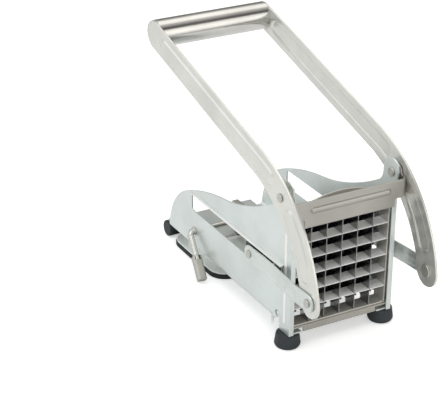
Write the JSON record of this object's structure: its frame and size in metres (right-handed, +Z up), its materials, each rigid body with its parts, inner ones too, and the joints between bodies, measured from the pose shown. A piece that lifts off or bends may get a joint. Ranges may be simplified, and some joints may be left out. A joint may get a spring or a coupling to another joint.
{
  "type": "french fry cutter",
  "caption": "Table-top french fry cutter: a long cranked lever pulls a studded pusher through a sheet steel channel and a square blade grid.",
  "frame": {"origin": "on the table, in the middle plane of the body, 75 mm behind the front face of the front posts", "axes": "-Y is the blade end where the fries come out, +Y is the handle end, +X is to the right seen from the blade end, +Z is up"},
  "size_m": [0.0976, 0.2325, 0.1697],
  "materials": {
    "steel_body": "satin",
    "arm_steel": "satin",
    "steel_rod": "satin",
    "pan_steel": "satin",
    "blade_steel": "satin",
    "rivet_steel": "polished",
    "handle_steel": "polished",
    "plug_metal": "satin",
    "rubber_black": "matte",
    "pusher_plastic": "matte"
  },
  "bodies": {
    "frame": {"body_channel": "steel_body", "cross_plate": "steel_body", "lower_crossbar": "steel_body", "insert_guides": "steel_body", "front_feet": "rubber_black", "foot_screws": "rivet_steel", "rear_foot": "rubber_black", "suction_pan": "pan_steel", "pan_rivets": "rivet_steel", "suction_cup": "rubber_black", "pivot_rivets": "rivet_steel", "pivot_bushes": "rivet_steel"},
    "lever": {"lever_arm_left": "arm_steel", "lever_arm_right": "arm_steel", "handle_tube": "handle_steel", "handle_plugs": "plug_metal", "link_pins": "rivet_steel"},
    "left_pull_link": {"link_left": "arm_steel", "link_rivet_left": "rivet_steel"},
    "right_pull_link": {"link_right": "arm_steel", "link_rivet_right": "rivet_steel"},
    "pusher": {"pusher_block": "pusher_plastic", "pusher_rod": "rivet_steel", "guide_shoes": "pusher_plastic"},
    "blade_insert": {"blade_frame": "blade_steel", "upright_blades": "blade_steel", "level_blades": "blade_steel"},
    "suction_handle": {"suction_cam": "rivet_steel", "suction_lever": "steel_rod", "suction_grip": "steel_rod"},
    "suction_plunger": {"suction_stem": "rivet_steel"}
  },
  "joints": [
    {"name": "lever_pivot", "type": "hinge", "parent": "frame", "child": "lever", "pos_m": [0, -0.0685, 0.1085], "axis": [1, 0, 0], "range_deg": [-8, 64]},
    {"name": "left_link_pin", "type": "hinge", "parent": "lever", "child": "left_pull_link", "pos_m": [0, -0.10556, 0.05251], "axis": [1, 0, 0], "range_deg": [-64, 8]},
    {"name": "right_link_pin", "type": "hinge", "parent": "lever", "child": "right_pull_link", "pos_m": [0, -0.10556, 0.05251], "axis": [1, 0, 0], "range_deg": [-64, 8]},
    {"name": "pusher_travel", "type": "slide", "parent": "frame", "child": "pusher", "axis": [0, 1, 0], "range_m": [-0.009, 0.0713]},
    {"name": "insert_lift", "type": "slide", "parent": "frame", "child": "blade_insert", "axis": [0, 0, 1], "range_m": [0, 0.1]},
    {"name": "suction_turn", "type": "hinge", "parent": "frame", "child": "suction_handle", "pos_m": [0, 0.0556, 0.028], "axis": [1, 0, 0], "range_deg": [-60, 0]},
    {"name": "stem_lift", "type": "slide", "parent": "frame", "child": "suction_plunger", "axis": [0, 0, 1], "range_m": [-0.0031, 0]}
  ],
  "couplings": [
    {"joint": "left_link_pin", "follows": "lever_pivot", "ratio": -1},
    {"joint": "right_link_pin", "follows": "lever_pivot", "ratio": -1},
    {"joint": "pusher_travel", "follows": "lever_pivot", "m_per_rad": 0.0637},
    {"joint": "stem_lift", "follows": "suction_turn", "m_per_rad": 0.00287}
  ]
}
